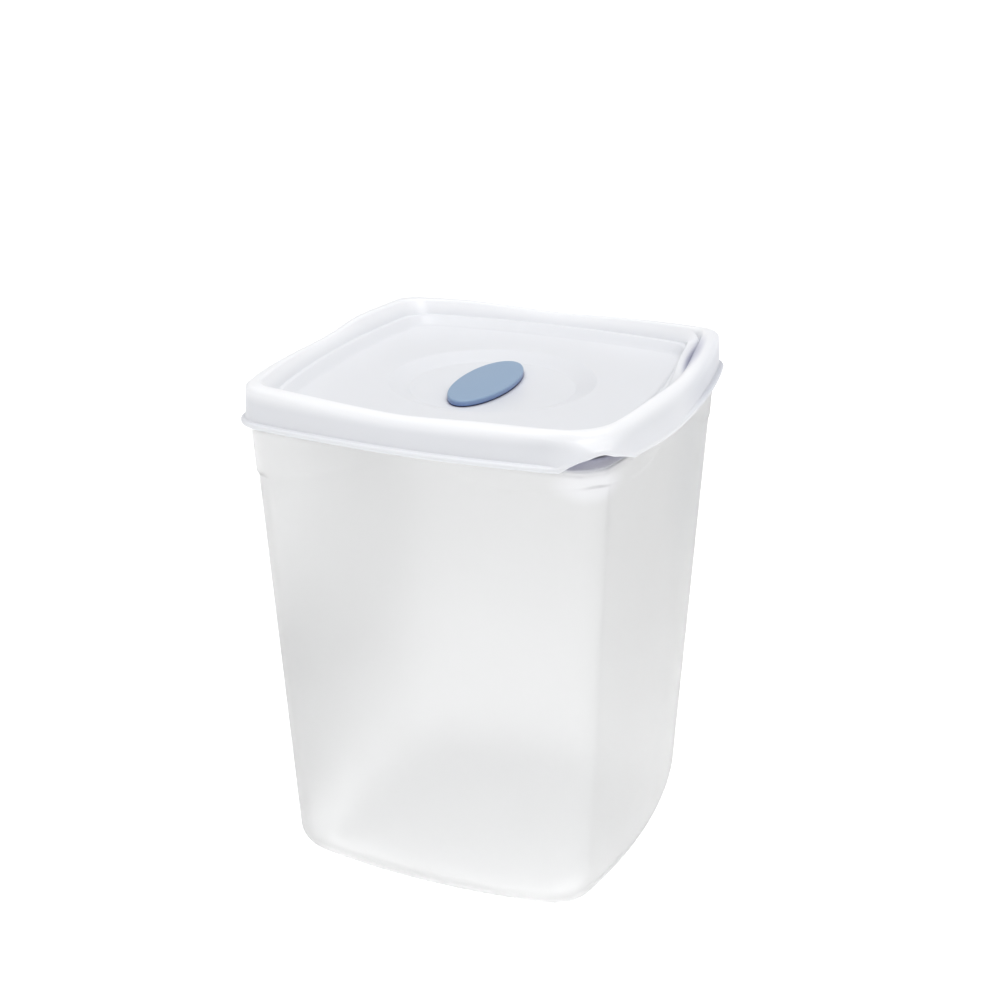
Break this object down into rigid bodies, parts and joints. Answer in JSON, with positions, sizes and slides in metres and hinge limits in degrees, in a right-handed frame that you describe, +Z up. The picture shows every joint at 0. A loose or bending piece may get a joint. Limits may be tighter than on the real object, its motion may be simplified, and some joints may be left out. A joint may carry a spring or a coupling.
{
  "type": "food canister",
  "caption": "Tall square food canister in frosted plastic with a press-on lid, a pull corner and an oval vent knob that turns in the lid.",
  "frame": {"origin": "middle of the foot, on the surface the canister stands on", "axes": "+Z up; the pull corner of the lid points to +X, -Y; the closed knob lies along Y"},
  "size_m": [0.141, 0.141, 0.1765],
  "materials": {
    "container": "frosted translucent natural polypropylene",
    "lid": "satin white soft polyethylene with a faint cool tint",
    "knob": "satin dusty blue polypropylene",
    "seal": "matt natural silicone"
  },
  "bodies": {
    "container": {"container": "container"},
    "lid": {"lid": "lid"},
    "knob": {"vent_knob": "knob", "vent_seal": "seal"}
  },
  "joints": [
    {"name": "lid_lift", "type": "slide", "parent": "container", "child": "lid", "axis": [0, 0, 1], "range_m": [0, 0.15]},
    {"name": "knob_turn", "type": "hinge", "parent": "lid", "child": "knob", "pos_m": [-0.0021, -0.0006, 0.166], "axis": [0, 0, 1], "range_deg": [0, 90]}
  ]
}
